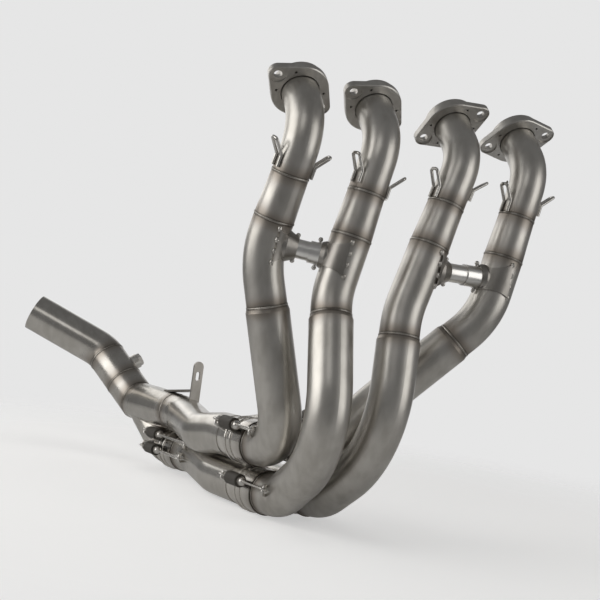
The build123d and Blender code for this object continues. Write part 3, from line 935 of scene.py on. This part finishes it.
@dataclass
class Crossover:
    """Balance tube between two neighbouring pipes.

    Args:
        tag: Name of the crossover.
        pipes: Numbers of the two pipes.
        sites: Middle of each pipe where the tube meets it, in millimetres.
        falls: Direction of each pipe there.
        edges: Place of each saddle's scalloped edge across its pipe, in millimetres.
        height: Height of a saddle in millimetres.
        inset: Distance of the end tacks from a saddle's ends, in millimetres.
        tacks: Number of tacks along an edge.
        stand_off: Distance from which a tack is cast on its pipe, in millimetres.
        tack: Lump laid between the scallops.
    """

    tag: str
    pipes: tuple[int, int]
    sites: tuple[Point, Point]
    falls: tuple[Point, Point]
    edges: tuple[float, float] = (10.0, -3.0)
    height: float = 36.0
    inset: float = 1.0
    tacks: int = 4
    stand_off: float = 60.0
    tack: TackWeld = TackWeld(6.2 * MM, 4.6 * MM, 2.4 * MM)

    def across(self) -> Vector:
        """Return the direction from the first pipe to the second."""
        return (Vector(self.sites[1]) - Vector(self.sites[0])).normalized()

    def dress(self) -> None:
        """Give the saddles, tubes and pins their finishes."""
        across = self.across()
        for side in ("left", "right"):
            dress_steel(f"crossover_{self.tag}_saddle_{side}", Metal.PLATE, across)
            dress_steel(f"crossover_{self.tag}_tube_{side}", Metal.BRIGHT, across)
        dress_steel(f"crossover_{self.tag}_pins", Metal.WIRE, across)

    def build(self) -> None:
        """Lay the tacks along the scalloped edge of each saddle, on both faces."""
        form = bmesh.new()
        for end in range(len(self.pipes)):
            self.lay_tacks(form, end)
        finish = Metal.TACK.value.make(f"crossover_{self.tag}_tack_steel", UPRIGHT, [])
        make_welds(f"crossover_{self.tag}_welds", form, finish)

    def lay_tacks(self, form: bmesh.types.BMesh, end: int) -> None:
        """Cast the tacks of one saddle on its pipe.

        Args:
            form: Form that takes the tacks in.
            end: Which of the two pipes, 0 or 1.
        """
        toward = self.across() if end == 0 else -self.across()
        middle = Vector(self.sites[end]) * MM
        normal = toward.cross(Vector(self.falls[end])).normalized()
        down = normal.cross(toward).normalized()
        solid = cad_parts[f"middle_bend_{self.pipes[end]}"].data
        corners = [vert.co for vert in solid.vertices]
        tree = BVHTree.FromPolygons(corners, [face.vertices for face in solid.polygons])
        for face in (-1, 1):
            for count in range(self.tacks):
                share = 1 - 2 * count / (self.tacks - 1)
                lift = (self.height / 2 - self.inset) * share * MM
                edge = middle + toward * self.edges[end] * MM + down * lift
                start = edge + normal * face * self.stand_off * MM
                spot, out, _, _ = tree.ray_cast(start, normal * -face)
                if spot is not None:
                    take_in(form, self.tack.lump(spot, down, out))


@dataclass
class Fastenings:
    """Hanger bracket, spring hooks, springs and their rubber sleeves.

    Args:
        axis: Direction of the springs.
    """

    axis: Vector

    def dress(self) -> None:
        """Give the bracket, wire and rubber their finishes."""
        dress_steel("hanger_bracket", Metal.PLATE, UPRIGHT)
        for node in ("spring_hooks", "retaining_springs"):
            dress_steel(node, Metal.WIRE, self.axis)
        dress("spring_sleeves", RubberFinish().make("spring_sleeves_rubber", self.axis))


@dataclass(frozen=True)
class Softbox:
    """Rectangular studio lamp.

    Args:
        name: Name of the lamp.
        place: Place in the frame, in metres.
        size: Width and height in metres.
        radiance: Brightness of its face.
        mirrored: Whether bright metal shows its face.
        colour: Colour of its light.
    """

    name: str
    place: Point
    size: tuple[float, float]
    radiance: float
    mirrored: bool = True
    colour: Colour = (1.0, 0.985, 0.955)

    def hang(self, target: Vector) -> None:
        """Hang the lamp and aim it.

        Args:
            target: Point that it faces.
        """
        lamp = bpy.data.lights.new(self.name, "AREA")
        lamp.shape = "RECTANGLE"
        lamp.size, lamp.size_y = self.size
        lamp.energy = self.radiance * math.pi * self.size[0] * self.size[1]
        lamp.color = self.colour
        holder = bpy.data.objects.new(self.name, lamp)
        holder.location = self.place
        holder.visible_camera = False
        holder.visible_glossy = self.mirrored
        aim = target - Vector(self.place)
        holder.rotation_euler = aim.to_track_quat("-Z", "Y").to_euler()
        bpy.context.scene.collection.objects.link(holder)


@dataclass
class Studio:
    """Floor, background, lamps and camera.

    Args:
        floor_colour: Colour of the floor.
        floor_glow: Brightness that the floor keeps in shadow.
        floor_roughness: Roughness of the floor.
        floor_radius: Radius of the floor.
        floor_sides: Sides of the floor's edge.
        floor_fade: Distances from its middle at which the floor starts and ends its fade.
        floor_gap: Room between the floor and the header.
        background: Colour that the camera sees past the floor.
        room_colour: Colour of the room light.
        ambient: Strength of the room light.
        gloss_share: Share of the background that metal sees away from the backdrop.
        backdrop_edge: Cosines to the camera's view at which the backdrop ends and is full.
        camera_at: Place of the camera.
        camera_right: Right hand of the picture.
        camera_up: Top of the picture.
        sensor: Width of the camera's sensor in millimetres.
        focal: Focal length in millimetres.
        clip: Nearest and furthest distance that the camera sees.
        lamps: Lamps round the header.
    """

    floor_colour: Colour = (0.80, 0.80, 0.80)
    floor_glow: float = 0.47
    floor_roughness: float = 0.9
    floor_radius: float = 3.0
    floor_sides: int = 96
    floor_fade: tuple[float, float] = (0.35, 1.0)
    floor_gap: float = 0.5 * MM
    background: Colour = (0.791, 0.791, 0.791)
    room_colour: Colour = (1.0, 0.99, 0.97)
    ambient: float = 0.03
    gloss_share: float = 0.18
    backdrop_edge: tuple[float, float] = (0.80, 0.92)
    camera_at: Point = (-0.5442, -1.0135, -0.2405)
    camera_right: Point = (0.90587, -0.40208, 0.13312)
    camera_up: Point = (-0.13283, 0.02874, 0.99072)
    sensor: float = 36.0
    focal: float = 66.0
    clip: tuple[float, float] = (0.01, 50.0)
    lamps: tuple[Softbox, ...] = (
        Softbox("left_softbox", (-1.86, 0.40, 0.36), (2.0, 1.6), 1.75),
        Softbox("right_softbox", (1.11, -1.17, 0.10), (1.1, 1.4), 1.15),
        Softbox("front_softbox", (-0.90, -1.08, 0.76), (0.6, 0.5), 1.1),
        Softbox("rear_softbox", (-0.57, 1.65, 0.48), (1.2, 0.8), 1.15),
        Softbox("top_softbox", (-0.1, 0.2, 1.7), (1.8, 1.8), 0.70, mirrored=False),
    )

    def build(self) -> None:
        """Set up everything around the header."""
        low, high = CAD_BOX
        middle = (low + high) / 2
        bpy.context.scene.view_settings.view_transform = "Standard"
        self.floor(Vector((middle.x, middle.y, low.z - self.floor_gap)))
        self.world()
        for lamp in self.lamps:
            lamp.hang(middle)
        self.camera()

    def floor(self, middle: Vector) -> None:
        """Lay the floor disc under the header.

        Args:
            middle: Centre of the disc.
        """
        form = bmesh.new()
        bmesh.ops.create_circle(
            form, cap_ends=True, radius=self.floor_radius, segments=self.floor_sides
        )
        bmesh.ops.translate(form, vec=middle, verts=form.verts)
        mesh = bpy.data.meshes.new("studio_floor")
        form.to_mesh(mesh)
        form.free()
        mesh.materials.append(self.paper(middle))
        plate = bpy.data.objects.new("studio_floor", mesh)
        bpy.context.scene.collection.objects.link(plate)

    def paper(self, middle: Vector) -> bpy.types.Material:
        """Make the floor's pale paper, which fades out into the background.

        Args:
            middle: Centre of the floor.

        Returns:
            The new material.
        """
        shader = Shader("studio_floor_paper")
        inputs = shader.surface.inputs
        inputs["Base Color"].default_value = (*self.floor_colour, 1.0)
        inputs["Roughness"].default_value = self.floor_roughness
        inputs["Specular IOR Level"].default_value = 0.0
        inputs["Emission Color"].default_value = (1.0, 1.0, 1.0, 1.0)
        rays = shader.add("ShaderNodeLightPath").outputs
        gloss = shader.math("MULTIPLY", rays["Is Glossy Ray"], self.gloss_share)
        seen = shader.math("MAXIMUM", rays["Is Camera Ray"], gloss)
        seen = shader.math("MAXIMUM", seen, rays["Is Transmission Ray"])
        glow = shader.math("MULTIPLY", seen, self.floor_glow)
        shader.put(inputs["Emission Strength"], glow)
        reach = shader.vector("DISTANCE", shader.place, tuple(middle))
        fade = shader.span(reach, *self.floor_fade)
        clear = shader.add("ShaderNodeBsdfTransparent").outputs["BSDF"]
        shader.put(shader.end, shader.blend(fade, shader.surface.outputs["BSDF"], clear))
        return shader.material

    def world(self) -> None:
        """Set the room light and the plain background."""
        world = bpy.data.worlds.new("studio_room")
        world.use_nodes = True
        nodes = Nodes(world.node_tree)
        pale = nodes.add("ShaderNodeBackground")
        pale.inputs["Color"].default_value = (*self.background, 1.0)
        room = nodes.add("ShaderNodeBackground")
        room.inputs["Color"].default_value = (*self.room_colour, 1.0)
        room.inputs["Strength"].default_value = self.ambient
        rays = nodes.add("ShaderNodeLightPath").outputs
        cover = self.backdrop(nodes)
        seen = nodes.math("MULTIPLY_ADD", rays["Is Glossy Ray"], cover, rays["Is Camera Ray"])
        seen = nodes.math("MAXIMUM", seen, rays["Is Transmission Ray"])
        light = nodes.blend(seen, room.outputs[0], pale.outputs[0])
        nodes.put(nodes.add("ShaderNodeOutputWorld").inputs["Surface"], light)
        bpy.context.scene.world = world

    def backdrop(self, nodes: Nodes) -> Socket:
        """Say how much of the pale background stands in each direction.

        Args:
            nodes: Node tree of the world.

        Returns:
            1 behind the header as the camera sees it, and the room's share elsewhere.
        """
        way = nodes.add("ShaderNodeTexCoord").outputs["Generated"]
        ahead = Vector(self.camera_up).cross(Vector(self.camera_right))
        facing = nodes.vector("DOT_PRODUCT", way, tuple(ahead))
        return nodes.span(facing, *self.backdrop_edge, self.gloss_share, 1.0)

    def camera(self) -> None:
        """Stand the camera at the photograph's viewing angle."""
        lens = bpy.data.cameras.new("camera")
        lens.sensor_width = self.sensor
        lens.lens = self.focal
        lens.clip_start, lens.clip_end = self.clip
        camera = bpy.data.objects.new("camera", lens)
        right = Vector(self.camera_right).normalized()
        up = Vector(self.camera_up).normalized()
        turn = Matrix((right, up, right.cross(up))).transposed().to_4x4()
        camera.matrix_world = Matrix.Translation(self.camera_at) @ turn
        bpy.context.scene.collection.objects.link(camera)
        bpy.context.scene.camera = camera


def main() -> None:
    """Build the header's looks in order and set the studio round it."""
    logging.basicConfig(level=logging.INFO, format="%(name)s: %(message)s")
    tubes = [node for number in PIPES for node in Primary.tubes(number)]
    seams = find_seams([*tubes, *Collector.SLIPS, *Collector.BODIES])
    LOG.info("found %d welds", len(seams))
    primaries = [Primary(number, seams) for number in PIPES]
    crossovers = [
        Crossover(
            tag="front",
            pipes=(1, 2),
            sites=((-143.78, -1.13, -156.74), (-71.16, -30.36, -165.82)),
            falls=((-0.0197, 0.2401, -0.9705), (-0.1853, 0.0641, -0.9806)),
        ),
        Crossover(
            tag="rear",
            pipes=(3, 4),
            sites=((12.29, -38.16, -161.1), (106.29, -35.14, -160.71)),
            falls=((-0.2805, 0.0031, -0.9598), (-0.2015, 0.0278, -0.9791)),
        ),
    ]
    for assembly in (*primaries, *crossovers, Collector(seams)):
        assembly.dress()
        assembly.build()
    Fastenings(flat_ends("lower_socket")[0].axis).dress()
    Studio().build()


if __name__ == "__main__":
    main()
